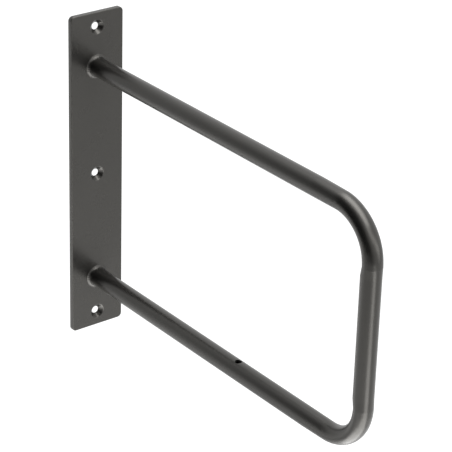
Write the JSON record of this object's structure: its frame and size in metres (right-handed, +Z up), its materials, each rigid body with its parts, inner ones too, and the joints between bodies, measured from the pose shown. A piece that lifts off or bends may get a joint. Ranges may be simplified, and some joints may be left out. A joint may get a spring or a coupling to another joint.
{
  "type": "shelf bracket",
  "caption": "Wall bracket for a shelf board: a flat screw plate with a bent tube loop welded to its front, in dark satin powder coat.",
  "frame": {"origin": "middle of the wall plate's back face, where it lies against the wall", "axes": "+Y into the wall, +Z up, +X along the wall; the tube loop reaches out from the wall along -Y"},
  "size_m": [0.04, 0.28, 0.225],
  "materials": {
    "plate_coat": "satin",
    "tube_coat": "satin",
    "weld_coat": "satin"
  },
  "bodies": {
    "root": {"wall_plate": "plate_coat", "support_loop": "tube_coat", "upper_weld": "weld_coat", "lower_weld": "weld_coat"}
  },
  "joints": []
}
